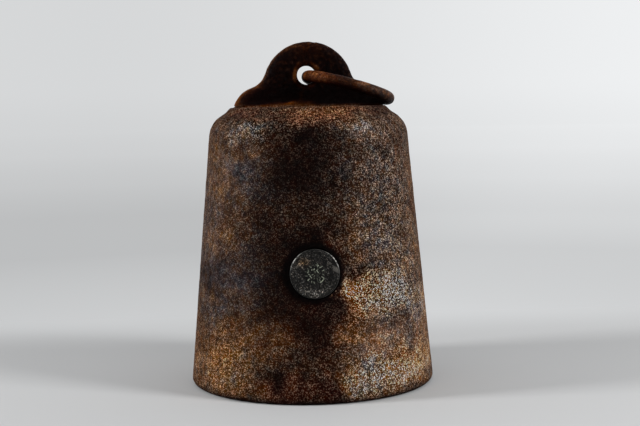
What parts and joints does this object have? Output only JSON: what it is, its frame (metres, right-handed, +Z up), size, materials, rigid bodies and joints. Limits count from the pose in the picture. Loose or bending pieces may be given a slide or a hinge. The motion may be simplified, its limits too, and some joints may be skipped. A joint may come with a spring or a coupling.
{
  "type": "scale weight",
  "caption": "Bell-shaped cast-iron scale weight with an eyed lug on its flat top, a loose carrying ring that swings over, and a round stamp plug in its front.",
  "frame": {"origin": "centre of the flat underside, on the floor", "axes": "+Z up through the body to the lug, -Y towards the stamp plug, the lug lies along X with its eye along Y"},
  "size_m": [0.0696, 0.0696, 0.0974],
  "materials": {
    "cast_body": "rough sand-cast iron, rusted brown with dark and grey patches",
    "ring_iron": "wrought bar, evenly rusted and rubbed smooth",
    "plug_metal": "dull dark tarnish over soft metal",
    "soft_metal": "dull grey"
  },
  "bodies": {
    "weight": {"weight_casting": "cast_body", "adjusting_lead": "soft_metal", "stamp_plug": "plug_metal"},
    "ring": {"carrying_ring": "ring_iron"}
  },
  "joints": [
    {"name": "ring_swing", "type": "hinge", "parent": "weight", "child": "ring", "pos_m": [0.0001, 0, 0.08743], "axis": [0, -1, 0], "range_deg": [0, 211.5]}
  ]
}
